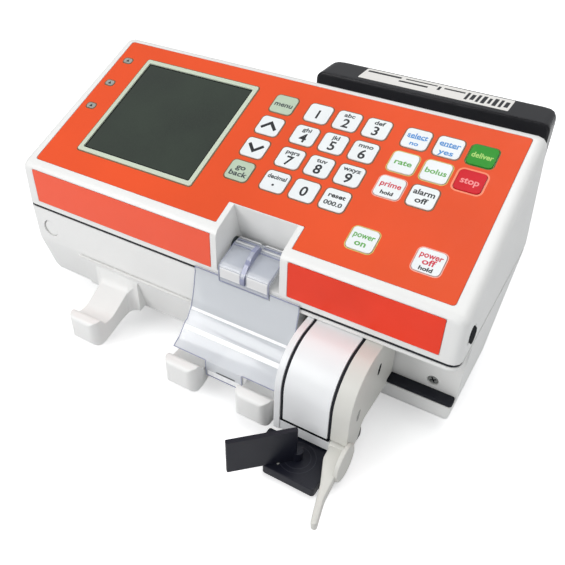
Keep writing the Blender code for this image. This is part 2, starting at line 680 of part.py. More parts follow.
def make_driver_frame():
    frame = slice_x("driver_frame", head_outline(0.0, 9.6), FRAME_X, "driver_white")
    bevel(frame, 0.8, 2)
    skirt = rounded([(HEAD_NOSE_Y + 0.6, 9.6, 1.0), (SILL_Y - 1.5, 9.6, 1.0), (SILL_Y - 1.5, 18.7, 0.5),
                     (HEAD_NOSE_Y + 0.6, 18.7, 0.5)])
    tube_hole = slice_x("tube_hole", circle((DRIVE_Y, DRIVE_Z), TUBE_RADIUS + GAP), (FRAME_X[0] - 4, FRAME_X[1] + 3))
    join(frame, slice_x("driver_skirt", skirt, (FRAME_X[1] - 1.0, RIGHT_SEAL_X[1])))
    return cut(frame, tube_hole)


def make_driver_slices():
    cover = bevel(slice_x("driver_cover", head_outline(), COVER_X, "driver_white"), 0.6, 2)
    seals = [slice_x(name, head_outline(-0.5), x, "dark_rubber")
             for name, x in (("driver_seal_left", LEFT_SEAL_X), ("driver_seal_right", RIGHT_SEAL_X))]
    return [cover, *seals]


def make_side_cover():
    """Right cover: its lower edge drops at the front into a lobe round the lever's pivot."""
    back, top, nose, low = HEAD_BACK_Y, HEAD_TOP_Z, HEAD_NOSE_Y, 26.9
    outline = rounded([
        (nose, 10.2, 5.0), (-63.0, 10.2, 8.0), (-58.0, low - 4.0, 4.0), (SILL_Y - 1.5, low - 4.0, 1.0),
        (SILL_Y - 1.5, low, 0.5), (back, low, 1.5), (back, top, 4.0), (nose, top, HEAD_NOSE_RADIUS),
    ])
    cover = bevel(slice_x("driver_side_cover", outline, SIDE_COVER_X, "driver_white"), 2.6, 3, angle=50)
    left, right = SIDE_COVER_X[0] - 2.5, SIDE_COVER_X[1] + 2.0
    seat = slice_x("lever_seat", circle(LEVER_PIVOT, 5.3, 24), (left, right))
    mouth = box("lever_mouth", (left, -100, 3), (right, LEVER_PIVOT[0], 21.5))
    holes = [slice_x(f"cover_hole_{i}", circle(spot, 2.1, 12), (SIDE_COVER_X[1] - 3.5, right))
             for i, spot in enumerate(((-42.0, 50.5), (-66.5, 36.0)))]
    return cut(cover, seat, mouth, *holes)


def make_release_lever():
    """A tongue that tapers towards its tip, with a barrel across its root."""
    pivot_y, pivot_z = LEVER_PIVOT
    left, right = SIDE_COVER_X[0] + 1.1, SIDE_COVER_X[1] + 1.6
    outline = rounded([
        (left, 0.5, 0.0), (left, -11.0, 8.0), (left + 6.0, -26.0, 20.0), (left + 9.8, -41.0, 12.0),
        (left + 12.0, -48.6, 1.5), (left + 15.2, -47.6, 1.5), (left + 11.8, -32.0, 14.0),
        (right, -16.0, 20.0), (right, 0.5, 0.0),
    ][::-1])
    frame = Matrix.Translation((0, pivot_y, pivot_z)) @ Matrix.Rotation(LEVER_TILT, 4, "X")
    lever = plate("release_lever", [outline], -3.8, 3.8, frame, "driver_white")
    bevel(lever, 1.3, 2, angle=50)
    barrel = slice_x("lever_barrel", circle(LEVER_PIVOT, 4.8, 24), (SIDE_COVER_X[0] + 0.4, right))
    disc = slice_x("lever_disc", circle((pivot_y - 8.0, pivot_z + 0.4), 11.3, 40), (SIDE_COVER_X[1] + GAP, right + 1.4))
    return join(lever, barrel, bevel(disc, 0.7, 2))


def make_flipper():
    left, front = FRAME_X[0] - 1.9, -104.5
    neck, right = FRAME_X[1] + 3.7, SIDE_COVER_X[1] - 2.4
    base = plate("flipper_base", [rounded([
        (left, -85.5, 1.5), (neck, -85.5, 1.2), (neck, front, 2.0), (right - 3.6, front, 2.0),
        (right - 3.6, -98.0, 1.2), (right, -94.0, 1.2), (right, -50.0, 2.0), (neck, -50.0, 2.0),
        (neck, -79.0, 1.2), (left, -79.0, 1.5),
    ])], 2.0, 8.7, IDENTITY, "black_plastic")
    bevel(base, 0.8, 2)
    post = plate("flipper_post", [circle(FLIPPER_PIVOT, 1.6, 20)], 6.0, 12.5)
    join(base, post)
    x, y = FLIPPER_PIVOT
    frame = Matrix.Translation((x, y, 0)) @ Matrix.Rotation(FLIPPER_HEADING, 4, "Z")
    blade = plate("plunger_flipper", [rounded([
        (0.6, -1.5, 1.0), (FLIPPER_LENGTH, -1.5, 0.7), (FLIPPER_LENGTH, 1.5, 0.7), (0.6, 1.5, 1.0),
    ])], 9.0, 33.5, frame, "black_plastic")
    hub = plate("flipper_hub", [circle((0, 0), 3.2, 24)], 9.0, 15.0, frame)
    bore = plate("flipper_bore", [circle((0, 0), 1.9, 20)], 5.0, 13.0, frame)
    join(blade, hub)
    cut(blade, bore)
    return base, blade


def make_driver():
    tube = slice_x("plunger_tube", circle((DRIVE_Y, DRIVE_Z), TUBE_RADIUS), TUBE_X, "steel",
                   [circle((DRIVE_Y, DRIVE_Z), 5.0)])
    nut = slice_x("drive_nut", circle((DRIVE_Y, DRIVE_Z), 8.5, 6), (TUBE_X[0] - 12.3, TUBE_X[0] - GAP), "brass",
                  [circle((DRIVE_Y, DRIVE_Z), SCREW_RADIUS + GAP)])
    base, blade = make_flipper()
    lever = make_release_lever()
    fixed = [tube, nut, make_driver_frame(), *make_driver_slices(), make_side_cover(), base]
    driver = carry("driver_slide", (FRAME_X[0], DRIVE_Y, DRIVE_Z), fixed)
    lever_hinge = carry("release_lever_hinge", (sum(SIDE_COVER_X) / 2, *LEVER_PIVOT), [lever])
    flipper_hinge = carry("plunger_flipper_hinge", (*FLIPPER_PIVOT, 9.0), [blade])
    for hinge in (lever_hinge, flipper_hinge):
        hinge.parent = driver
        hinge.matrix_parent_inverse = driver.matrix_world.inverted()


# ---------------------------------------------------------------- inside the case

def make_drive_train():
    slice_x("drive_motor", circle((DRIVE_Y, DRIVE_Z), 9.0), (SCREW_X[0] - 27.0, SCREW_X[0] - GAP), "steel")
    screw = slice_x("lead_screw", circle((DRIVE_Y, DRIVE_Z), SCREW_RADIUS, 16), SCREW_X, "steel")
    carry("lead_screw_spin", (SCREW_X[0], DRIVE_Y, DRIVE_Z), [screw])
    slice_x("tube_bush", circle((DRIVE_Y, DRIVE_Z), 8.7), (RECESS_X - WALL + 0.2, RECESS_X - 0.2),
            "nylon", [circle((DRIVE_Y, DRIVE_Z), TUBE_RADIUS + GAP)])


def make_electronics():
    board = plate("main_board", [rectangle(12, 34, 276, 106, 3)], -14.0, -12.4, ON_PANEL, "circuit_board")
    chips = [((40, 50), (26, 26)), ((110, 70), (40, 8)), ((200, 60), (18, 18)), ((250, 50), (12, 30))]
    for i, (spot, size) in enumerate(chips):
        join(board, plate(f"board_chip_{i}", [centred(spot, size)], -19.0, -13.5, ON_PANEL))
    pack = plate("battery_pack", [rectangle(-70, -8, 45, 36, 6)], BASE_Z + WALL + GAP, 50, IDENTITY, "battery_wrap")
    bevel(pack, 1.5, 2)


def case_back(z):
    share = (REAR_TOP[1] - z) / (REAR_TOP[1] - REAR_MIDDLE[1])
    return REAR_TOP[0] + share * (REAR_MIDDLE[0] - REAR_TOP[0])


def make_handle():
    """A crossbar on two upright legs, whose feet rest on the case's sloping back."""
    (left, right), (near, far) = HANDLE_X, HANDLE_Y
    low, top = HANDLE_FOOT_Z[0], HANDLE_TOP_Z
    inner_left, inner_right, under = left + HANDLE_LEG, right - HANDLE_LEG, top - HANDLE_GRIP
    arch = rounded([
        (left, low, 3.0), (inner_left, low, 0.0), (inner_left, under, 6.0), (inner_right, under, 6.0),
        (inner_right, low, 0.0), (right, low, 3.0), (right, top, 5.0), (left, top, 5.0),
    ])
    handle = plate("handle", [arch], -far - 5.0, -near + 5.0, FACING_FRONT, "black_plastic")
    plan = plate("handle_plan", [rounded([
        (left - 5.0, near, 0.0), (right + 5.0, near, 0.0), (right + 5.0, near + 1.0, 0.0),
        (right, near + 6.0, 2.0), (right, far, 10.0), (left, far, 10.0),
        (left, near + 6.0, 2.0), (left - 5.0, near + 1.0, 0.0),
    ])], low - 5.0, top + 5.0)
    boolean(handle, plan, "INTERSECT")
    bevel(handle, 2.8, 3, angle=50)
    foot_low, foot_high = HANDLE_FOOT_Z
    slab = slice_x("case_back", [
        (40.0, foot_low - 10), (case_back(foot_low - 10) + GAP, foot_low - 10),
        (case_back(foot_high + 10) + GAP, foot_high + 10), (40.0, foot_high + 10)], (left - 20, right + 20))
    for i, x in enumerate((left, inner_right)):
        foot = rounded([(x, 70.0), (x + HANDLE_LEG, 70.0), (x + HANDLE_LEG, near + 5.0), (x, near + 5.0)], 0.0)
        join(handle, cut(plate(f"handle_foot_{i}", [foot], foot_low, foot_high), slab))


make_upper_housing()
make_lower_housing()
make_gasket()
make_front_trim()
make_feet()
make_power_inlet()
KEY_PLACES = key_places()
make_overlay(KEY_PLACES)
make_keys(KEY_PLACES)
make_display()
make_lamps()
make_barrel_clamp()
make_cradle()
make_tray()
make_driver()
make_drive_train()
make_electronics()
make_handle()
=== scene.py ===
"""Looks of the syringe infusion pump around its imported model.

Metres, in the frame of the model. Flat shapes are written in millimetres and placed by a matrix.
"""

import math

import bmesh
import bpy
from mathutils import Euler, Matrix, Vector


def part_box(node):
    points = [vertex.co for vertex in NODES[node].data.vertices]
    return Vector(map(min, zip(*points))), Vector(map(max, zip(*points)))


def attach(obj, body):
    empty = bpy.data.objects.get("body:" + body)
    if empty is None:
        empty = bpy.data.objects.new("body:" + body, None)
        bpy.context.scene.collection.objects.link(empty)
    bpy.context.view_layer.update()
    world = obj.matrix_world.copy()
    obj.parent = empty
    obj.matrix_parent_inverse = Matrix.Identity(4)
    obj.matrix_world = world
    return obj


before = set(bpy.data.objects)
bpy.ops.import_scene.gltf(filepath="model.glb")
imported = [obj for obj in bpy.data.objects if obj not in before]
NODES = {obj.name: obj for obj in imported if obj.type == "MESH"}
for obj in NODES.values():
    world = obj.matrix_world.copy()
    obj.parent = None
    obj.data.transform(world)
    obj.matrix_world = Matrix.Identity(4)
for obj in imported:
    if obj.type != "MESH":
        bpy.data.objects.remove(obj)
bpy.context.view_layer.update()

MM = 0.001
GAP = 0.3  # mm, between a key, frame or lamp and its opening in the panel
PANEL_TILT = math.radians(22.9)
PANEL_CORNER = (-0.144, -0.035, 0.1055)
ON_PANEL = Matrix.Translation(PANEL_CORNER) @ Matrix.Rotation(PANEL_TILT, 4, "X")
FACING_FRONT = Matrix.Rotation(math.pi / 2, 4, "X")  # an outline in X and Z, raised towards -Y
FACING_RIGHT = Matrix(((0, 0, 1), (1, 0, 0), (0, 1, 0))).to_4x4()  # in Y and Z, raised towards +X
KEY_SIZE = (15.6, 14.6)
KEY_RADIUS = 2.6
KEY_TOP = 0.5  # mm, how far a key stands above the panel
PRINT_HEIGHT = 0.03
SUNK = 0.01  # mm, how deep a print reaches into what it is printed on


# ---------------------------------------------------------------- materials

GLOSS_SPREAD = 0.05  # how far the roughness strays, up and down
COAT_ROUGHNESS = 0.1


def linear(red, green, blue):
    """Display colour, 0 to 255, as the linear colour that a shader takes."""
    values = (c / 255 for c in (red, green, blue))
    return (*(v / 12.92 if v <= 0.04045 else ((v + 0.055) / 1.055) ** 2.4 for v in values), 1.0)


def scaled(colour, by):
    """A colour made lighter or darker."""
    return (*(min(1.0, c * by) for c in colour[:3]), 1.0)


def add(tree, kind, inputs=None, **settings):
    """A new shader node, with its inputs linked to sockets or set to values."""
    node = tree.nodes.new("ShaderNode" + kind)
    for key, value in settings.items():
        setattr(node, key, value)
    for key, value in (inputs or {}).items():
        if isinstance(value, bpy.types.NodeSocket):
            tree.links.new(value, node.inputs[key])
        else:
            node.inputs[key].default_value = value
    return node


def blank(name):
    """A new material, with its node tree and its shader."""
    material = bpy.data.materials.new(name)
    material.use_nodes = True
    tree = material.node_tree
    return material, tree, tree.nodes["Principled BSDF"]


def mixed(tree, factor, first, second):
    """Socket of the colour between two colours."""
    mix = add(tree, "Mix", data_type="RGBA")
    sockets = (mix.inputs[0], mix.inputs[6], mix.inputs[7])
    for socket, value in zip(sockets, (factor, first, second)):
        if isinstance(value, bpy.types.NodeSocket):
            tree.links.new(value, socket)
        else:
            socket.default_value = value
    return mix.outputs[2]


def spread(tree, factor, low, high, source=(0.3, 0.7)):
    """Socket of a value moved from the source range to low and high."""
    scale = add(tree, "MapRange", {"Value": factor, "From Min": source[0], "From Max": source[1],
                                   "To Min": low, "To Max": high})
    return scale.outputs["Result"]


def moulded(name, colour, roughness, tone=0.02, tone_scale=22.0, grain=0.12, grain_scale=1500.0,
            depth=0.03, stretch=(1, 1, 1), rounding=0.0, specular=0.5, metallic=0.0, coat=0.0):
    """A surface with slow changes of tone and gloss and a fine grain."""
    material, tree, shader = blank(name)
    place = add(tree, "TexCoord").outputs["Object"]
    grained = add(tree, "Mapping", {"Vector": place, "Scale": stretch}).outputs["Vector"]
    cloud = add(tree, "TexNoise", {"Vector": place, "Scale": tone_scale, "Detail": 3.0}).outputs["Fac"]
    share = spread(tree, cloud, 0.0, 1.0)
    tinted = mixed(tree, share, scaled(colour, 1 - tone), scaled(colour, 1 + tone))
    tree.links.new(tinted, shader.inputs["Base Color"])
    smear = add(tree, "TexNoise", {"Vector": grained, "Scale": 140.0, "Detail": 4.0}).outputs["Fac"]
    gloss = spread(tree, smear, roughness - GLOSS_SPREAD, roughness + GLOSS_SPREAD)
    tree.links.new(gloss, shader.inputs["Roughness"])
    fine = add(tree, "TexNoise", {"Vector": grained, "Scale": grain_scale, "Detail": 2.0}).outputs["Fac"]
    bump = add(tree, "Bump", {"Height": fine, "Strength": grain, "Distance": depth * MM})
    if rounding:
        soft = add(tree, "Bevel", {"Radius": rounding * MM}, samples=4)
        tree.links.new(soft.outputs["Normal"], bump.inputs["Normal"])
    tree.links.new(bump.outputs["Normal"], shader.inputs["Normal"])
    shader.inputs["Specular IOR Level"].default_value = specular
    shader.inputs["Metallic"].default_value = metallic
    shader.inputs["Coat Weight"].default_value = coat
    shader.inputs["Coat Roughness"].default_value = COAT_ROUGHNESS
    return material


def see_through(name, colour, face_on, grazing, roughness=0.08):
    """Clear plastic: thin where it faces the eye, denser and darker towards its edges."""
    material, tree, shader = blank(name)
    place = add(tree, "TexCoord").outputs["Object"]
    cloud = add(tree, "TexNoise", {"Vector": place, "Scale": 60.0, "Detail": 3.0}).outputs["Fac"]
    facing = add(tree, "LayerWeight", {"Blend": 0.35}).outputs["Facing"]
    tinted = mixed(tree, facing, colour, scaled(colour, 0.62))
    tree.links.new(tinted, shader.inputs["Base Color"])
    density = spread(tree, facing, face_on, grazing, (0.0, 0.9))
    tree.links.new(density, shader.inputs["Alpha"])
    tree.links.new(spread(tree, cloud, roughness - 0.03, roughness + 0.04), shader.inputs["Roughness"])
    shader.inputs["IOR"].default_value = 1.49
    shader.inputs["Specular IOR Level"].default_value = 0.8
    shader.inputs["Coat Weight"].default_value = 0.6
    shader.inputs["Coat Roughness"].default_value = 0.03
    return material


def screen(name):
    """Display glass: a dark grey-green cell with a barely visible grid of dots."""
    material, tree, shader = blank(name)
    place = add(tree, "TexCoord").outputs["Object"]
    turned = add(tree, "Mapping", {"Vector": place, "Rotation": (-PANEL_TILT, 0, 0)}).outputs["Vector"]
    dots = add(tree, "TexBrick", {"Vector": turned, "Scale": 1.0, "Mortar Size": 0.00008,
                                  "Brick Width": 0.0007, "Row Height": 0.0007,
                                  "Color1": linear(55, 62, 55), "Color2": linear(51, 58, 52),
                                  "Mortar": linear(48, 54, 49)}, offset=0.0)
    cloud = add(tree, "TexNoise", {"Vector": place, "Scale": 30.0, "Detail": 3.0}).outputs["Fac"]
    tinted = mixed(tree, spread(tree, cloud, 0.0, 0.5), dots.outputs["Color"], linear(58, 68, 58))
    tree.links.new(tinted, shader.inputs["Base Color"])
    tree.links.new(spread(tree, cloud, 0.16, 0.24), shader.inputs["Roughness"])
    shader.inputs["Specular IOR Level"].default_value = 0.4
    return material


def circuit(name):
    """A green board with pale tracks."""
    material, tree, shader = blank(name)
    place = add(tree, "TexCoord").outputs["Object"]
    tracks = add(tree, "TexBrick", {"Vector": place, "Scale": 1.0, "Mortar Size": 0.0004,
                                    "Brick Width": 0.006, "Row Height": 0.0022,
                                    "Color1": linear(20, 92, 55), "Color2": linear(16, 80, 48),
                                    "Mortar": linear(70, 130, 70)})
    tree.links.new(tracks.outputs["Color"], shader.inputs["Base Color"])
    shine = add(tree, "TexNoise", {"Vector": place, "Scale": 200.0}).outputs["Fac"]
    tree.links.new(spread(tree, shine, 0.35, 0.55), shader.inputs["Roughness"])
    return material


LOOKS = {
    "case_white": moulded("case_white", linear(240, 240, 238), 0.36, rounding=0.5),
    "driver_white": moulded("driver_white", linear(240, 241, 242), 0.34, grain=0.03, grain_scale=500.0,
                            depth=0.02),
    # Darker, faintly warm copy of the white plastic: painted shade for the right-facing side cover and
    # release lever.
    "shaded_cover_white": moulded("shaded_cover_white", linear(218, 217, 211), 0.4, grain=0.03, grain_scale=500.0,
                           depth=0.02, specular=0.35),
    "orange_overlay": moulded("orange_overlay", linear(234, 84, 40), 0.5, tone=0.05, tone_scale=12.0,
                              grain=0.2, grain_scale=2600.0, specular=0.25),
    "strip_red": moulded("strip_red", linear(252, 96, 66), 0.4, tone=0.05, tone_scale=9.0, grain=0.1,
                         specular=0.3),
    "strip_deep_red": moulded("strip_deep_red", linear(246, 62, 34), 0.35, tone=0.1, tone_scale=14.0,
                              grain=0.1, specular=0.3),
    "key_white": moulded("key_white", linear(238, 242, 243), 0.38, grain=0.1, tone_scale=60.0),
    "key_grey": moulded("key_grey", linear(188, 205, 182), 0.38, grain=0.1, tone_scale=60.0, tone=0.04),
    "key_green": moulded("key_green", linear(40, 148, 36), 0.4, grain=0.1, tone_scale=60.0, tone=0.06,
                         specular=0.25),
    "key_red": moulded("key_red", linear(210, 14, 34), 0.4, grain=0.1, tone_scale=60.0, tone=0.06,
                       specular=0.25),
    "lcd_rim": moulded("lcd_rim", linear(206, 216, 196), 0.34, grain=0.05),
    "lcd_glass": screen("lcd_glass"),
    "lamp_lens": moulded("lamp_lens", linear(158, 162, 156), 0.25, tone=0.08, tone_scale=300.0,
                         grain=0.05),
    "clear_plastic": see_through("clear_plastic", linear(226, 231, 242), 0.42, 0.8),
    "frosted_plastic": see_through("frosted_plastic", linear(240, 244, 249), 0.6, 0.85, 0.16),
    "black_plastic": moulded("black_plastic", linear(18, 20, 32), 0.36, grain=0.05, tone=0.1,
                             specular=0.35),
    "black_gloss": moulded("black_gloss", linear(13, 13, 20), 0.22, grain=0.02, tone=0.1, rounding=3.2),
    "dark_rubber": moulded("dark_rubber", linear(22, 24, 32), 0.6, grain=0.3, grain_scale=900.0,
                           specular=0.25),
    "nylon": moulded("nylon", linear(205, 205, 195), 0.5),
    "steel": moulded("steel", linear(190, 192, 196), 0.28, metallic=1.0, stretch=(0.08, 1, 1), grain=0.25),
    "brass": moulded("brass", linear(196, 160, 84), 0.3, metallic=1.0, stretch=(0.08, 1, 1)),
    "circuit_board": circuit("circuit_board"),
    "battery_wrap": moulded("battery_wrap", linear(60, 84, 150), 0.3, coat=0.4),
    "paper": moulded("paper", linear(238, 236, 232), 0.6, grain=0.2),
}


def ink(name, colour, roughness=0.45):
    """Adds a plain printed colour to the looks."""
    LOOKS[name] = moulded(name, colour, roughness, tone=0.08, tone_scale=400.0, grain=0.05)


ink("ink_black", linear(30, 33, 38))
ink("ink_grey", linear(66, 74, 76))
ink("ink_blue", linear(74, 146, 212))
ink("ink_green", linear(96, 172, 78))
ink("ink_red", linear(206, 48, 70))
ink("ink_light_green", linear(170, 214, 110))
ink("ink_pink", linear(244, 150, 150))
# Olive lines of painted shade, in the gaps round keys, the display's frame and the lamps.
ink("olive_gap_shade", linear(122, 92, 58))
ink("line_green", linear(60, 110, 40))
ink("line_lime", linear(206, 196, 110))
ink("line_pink", linear(250, 140, 104))
ink("line_rose", linear(244, 176, 160))
ink("clear_edge", linear(146, 150, 176), 0.2)
# Painted highlight on the clear tray's bends and tab.
ink("painted_highlight_white", linear(250, 251, 253), 0.15)
# Grey of the base's small pin, and painted shade in one of the cover's slots.
ink("hole_grey", linear(150, 150, 146))
LOOKS["rib_tint"] = see_through("rib_tint", linear(160, 164, 196), 0.75, 0.95)
# White sheet of painted highlight on the clamp's ridges and front bend.
LOOKS["painted_highlight_tint"] = see_through("painted_highlight_tint", linear(255, 255, 255), 0.8, 0.95)
ink("screw_steel", linear(140, 142, 140), 0.3)
# Dark of the driver's lower seam, and painted shade in the screw's cross recess, a cover slot, the sounder's
# opening and inside the display's rim.
LOOKS["deep_black"] = moulded("deep_black", linear(18, 19, 24), 0.8, tone=0.08, specular=0.05)
# Slightly lighter than the black base: painted sheen for the rings round the flipper's pivot.
ink("painted_sheen_ring", linear(30, 31, 43))


# ---------------------------------------------------------------- shapes

CAP_SHARE = 0.72  # height of a capital, as a share of the font's size
SHARP_ANGLE = math.radians(35)


def rounded_rectangle(place, size, radius, grow=0.0, steps=6):
    """Outline of a rectangle with round corners, grown on all sides."""
    half_x, half_y = size[0] / 2 + grow, size[1] / 2 + grow
    radius = radius + grow
    points = []
    for quarter, (side_x, side_y) in enumerate(((1, 1), (-1, 1), (-1, -1), (1, -1))):
        centre = (place[0] + side_x * (half_x - radius), place[1] + side_y * (half_y - radius))
        for step in range(steps + 1):
            angle = math.pi / 2 * (quarter + step / steps)
            points.append((centre[0] + radius * math.cos(angle), centre[1] + radius * math.sin(angle)))
    return points


def circle(place, radius, steps=32):
    """Outline of a circle."""
    turns = [2 * math.pi * i / steps for i in range(steps)]
    return [(place[0] + radius * math.cos(a), place[1] + radius * math.sin(a)) for a in turns]


def stroke(points, width):
    """Outline of an open line of one width, with mitred corners."""
    sides = ([], [])
    for i, point in enumerate(points):
        here = Vector(point)
        ways = [(Vector(b) - Vector(a)).normalized() for a, b in
                ((points[max(i - 1, 0)], point), (point, points[min(i + 1, len(points) - 1)])) if a != b]
        along = sum(ways, Vector((0, 0))).normalized()
        across = Vector((-along.y, along.x)) * (width / 2 / abs(along.dot(ways[0])))
        sides[0].append(tuple(here + across))
        sides[1].append(tuple(here - across))
    return sides[1] + sides[0][::-1]


def capsule(place, length, width, turn, steps=8):
    """Outline of a round-ended bar, turned from the first axis."""
    reach = (length - width) / 2
    cos, sin = math.cos(turn), math.sin(turn)
    points = []
    for side, end in enumerate((reach, -reach)):
        for step in range(steps + 1):
            angle = math.pi * (side - 0.5 + step / steps)
            x, y = end + width / 2 * math.cos(angle), width / 2 * math.sin(angle)
            points.append((place[0] + x * cos - y * sin, place[1] + x * sin + y * cos))
    return points


def add_slab(solid, outline, low, high, matrix=Matrix.Identity(4), slot=0):
    """A closed prism over a counter-clockwise outline."""
    rows = [[solid.verts.new(matrix @ Vector((x, y, z))) for x, y in outline] for z in (low, high)]
    faces = [solid.faces.new(rows[0][::-1]), solid.faces.new(rows[1])]
    for i in range(len(outline)):
        j = (i + 1) % len(outline)
        faces.append(solid.faces.new((rows[0][i], rows[0][j], rows[1][j], rows[1][i])))
    for face in faces:
        face.material_index = slot


def add_ring(solid, inner, outer, low, high, slot=0):
    """A closed flat ring between two outlines that have the same number of points."""
    rows = {(i, z): [solid.verts.new((x, y, z)) for x, y in outline]
            for i, outline in enumerate((inner, outer)) for z in (low, high)}
    around = ((1, low), (1, high), (0, high), (0, low))
    for i in range(len(inner)):
        j = (i + 1) % len(inner)
        for a, b in zip(around, around[1:] + around[:1]):
            face = solid.faces.new((rows[a][i], rows[a][j], rows[b][j], rows[b][i]))
            face.material_index = slot


def piece(name, solid, body, looks, matrix=Matrix.Identity(4), smooth=False):
    """A named object that rides on a body. Its mesh is in millimetres until it is placed."""
    bmesh.ops.recalc_face_normals(solid, faces=solid.faces)
    mesh = bpy.data.meshes.new(name)
    solid.to_mesh(mesh)
    solid.free()
    mesh.transform(matrix @ Matrix.Scale(MM, 4))
    for look in looks:
        mesh.materials.append(LOOKS[look])
    if smooth:
        mesh.shade_smooth()
        mesh.set_sharp_from_angle(angle=SHARP_ANGLE)
    obj = bpy.data.objects.new(name, mesh)
    bpy.context.scene.collection.objects.link(obj)
    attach(obj, body)
    return obj


def letters(words, height, weight):
    """Mesh of centred letters of a cap height, in millimetres."""
    curve = bpy.data.curves.new("letters", "FONT")
    curve.body = words
    curve.align_x = "CENTER"
    curve.size = height / CAP_SHARE
    curve.extrude = PRINT_HEIGHT / 2
    curve.offset = weight
    curve.resolution_u = 3
    drawn = bpy.data.objects.new("letters", curve)
    bpy.context.scene.collection.objects.link(drawn)
    bpy.context.view_layer.update()
    mesh = bpy.data.meshes.new_from_object(drawn.evaluated_get(bpy.context.evaluated_depsgraph_get()))
    bpy.data.objects.remove(drawn)
    bpy.data.curves.remove(curve)
    return mesh


def add_words(solid, words, height, place, out, slot, weight, wide, widest):
    """Letters centred on a place, stretched in width as far as the widest line allows."""
    mesh = letters(words, height, weight)
    across = [vertex.co.x for vertex in mesh.vertices]
    wide = min(wide, widest / (max(across) - min(across)))
    middle = Matrix.Translation((place[0], place[1] - height / 2, out))
    mesh.transform(middle @ Matrix.Diagonal((wide, 1, 1, 1)))
    mesh.materials.clear()
    before = len(solid.faces)
    solid.from_mesh(mesh)
    solid.faces.ensure_lookup_table()
    for face in solid.faces[before:]:
        face.material_index = slot
    bpy.data.meshes.remove(mesh)


# ---------------------------------------------------------------- CAD nodes

SMOOTH_BELOW = math.radians(34)
WELD = 2e-6  # m


def smoothing_group():
    """Joins the facets of a node and shades its gentle edges smooth, without changing its mesh."""
    group = bpy.data.node_groups.new("soft_shading", "GeometryNodeTree")
    group.interface.new_socket("Geometry", in_out="INPUT", socket_type="NodeSocketGeometry")
    group.interface.new_socket("Geometry", in_out="OUTPUT", socket_type="NodeSocketGeometry")
    make, link = group.nodes.new, group.links.new
    start, end = make("NodeGroupInput"), make("NodeGroupOutput")
    plain = make("GeometryNodeRemoveAttribute")
    plain.inputs["Name"].default_value = "custom_normal"
    weld = make("GeometryNodeMergeByDistance")
    weld.inputs["Distance"].default_value = WELD
    smooth = make("GeometryNodeSetShadeSmooth")
    edges = make("GeometryNodeSetShadeSmooth")
    edges.domain = "EDGE"
    edges.inputs["Shade Smooth"].default_value = False
    angle = make("GeometryNodeInputMeshEdgeAngle")
    sharp = make("FunctionNodeCompare")
    sharp.operation = "GREATER_THAN"
    sharp.inputs[1].default_value = SMOOTH_BELOW
    link(start.outputs[0], plain.inputs["Geometry"])
    link(plain.outputs["Geometry"], weld.inputs["Geometry"])
    link(weld.outputs["Geometry"], smooth.inputs["Geometry"])
    link(smooth.outputs["Geometry"], edges.inputs["Geometry"])
    link(angle.outputs["Unsigned Angle"], sharp.inputs[0])
    link(sharp.outputs["Result"], edges.inputs["Selection"])
    link(edges.outputs["Geometry"], end.inputs[0])
    return group


SMOOTHING = smoothing_group()
NODE_LOOKS = {
    "case_white": ("upper_housing", "lower_housing", "screw_plug", "syringe_cradle"),
    "driver_white": ("driver_frame", "driver_cover"),
    "shaded_cover_white": ("driver_side_cover", "release_lever"),
    "orange_overlay": ("keypad_overlay",),
    "strip_red": ("front_label_left",),
    "strip_deep_red": ("front_label_right",),
    "key_grey": ("key_menu", "key_back"),
    "key_green": ("key_start",),
    "key_red": ("key_stop",),
    "lcd_rim": ("lcd_frame",),
    "lcd_glass": ("lcd_window",),
    "lamp_lens": ("indicator_light_pipe",),
    "clear_plastic": ("barrel_clamp",),
    "frosted_plastic": ("barrel_tray",),
    "black_gloss": ("handle",),
    "black_plastic": ("power_inlet", "flipper_base", "plunger_flipper"),
    "dark_rubber": ("housing_gasket", "guide_strip", "foot_left", "foot_right",
                    "driver_seal_left", "driver_seal_right"),
    "nylon": ("tube_bush",),
    "steel": ("clamp_pin", "drive_motor", "lead_screw", "plunger_tube"),
    "brass": ("drive_nut",),
    "circuit_board": ("main_board",),
    "battery_wrap": ("battery_pack",),
}
KEY_EDGE = 0.22  # mm
ROUNDED = {"plunger_flipper": 0.7, "flipper_base": 1.2, "syringe_cradle": 2.2}  # edge radius, mm
FLAT_BELOW, ROUND_ABOVE = math.radians(1.5), math.radians(50)
LOOK_OF = {node: look for look, nodes in NODE_LOOKS.items() for node in nodes}


def round_edges(node, radius, segments):
    """A bevel on the sharp edges of a node."""
    edge = node.modifiers.new("rounded edge", "BEVEL")
    edge.width, edge.segments, edge.limit_method = radius * MM, segments, "ANGLE"
    return edge


for name, node in NODES.items():
    node.data.materials.clear()
    node.data.materials.append(LOOKS[LOOK_OF.get(name, "key_white")])
    shading = node.modifiers.new("soft shading", "NODES")
    shading.node_group = SMOOTHING
    if name.startswith("key_"):
        round_edges(node, KEY_EDGE, segments=2)
    if name in ROUNDED:
        flat = node.modifiers.new("whole faces", "DECIMATE")
        flat.decimate_type, flat.angle_limit = "DISSOLVE", FLAT_BELOW
        round_edges(node, ROUNDED[name], segments=5).angle_limit = ROUND_ABOVE
    weighted = node.modifiers.new("even normals", "WEIGHTED_NORMAL")
    weighted.keep_sharp = True


# ---------------------------------------------------------------- keypad print

KEYS = [name for name in NODES if name.startswith("key_")]


def on_panel(node):
    """(across, up) of a node's middle on the panel, in millimetres."""
    low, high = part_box(node)
    middle = ON_PANEL.inverted() @ ((low + high) / 2)
    return middle.x / MM, middle.y / MM


KEY_LINES = {
    "line_green": ("key_start",),
    "line_pink": ("key_stop",),
    "line_lime": ("key_rate", "key_bolus", "key_power_on"),
    "line_rose": ("key_prime", "key_power_off"),
}
LINE_OF = {key: line for line, keys in KEY_LINES.items() for key in keys}
LINE_WIDTH, STOP_LINE_WIDTH = 0.55, 1.1
CLEAR = 0.02  # mm, left between a printed line and the edge of an opening


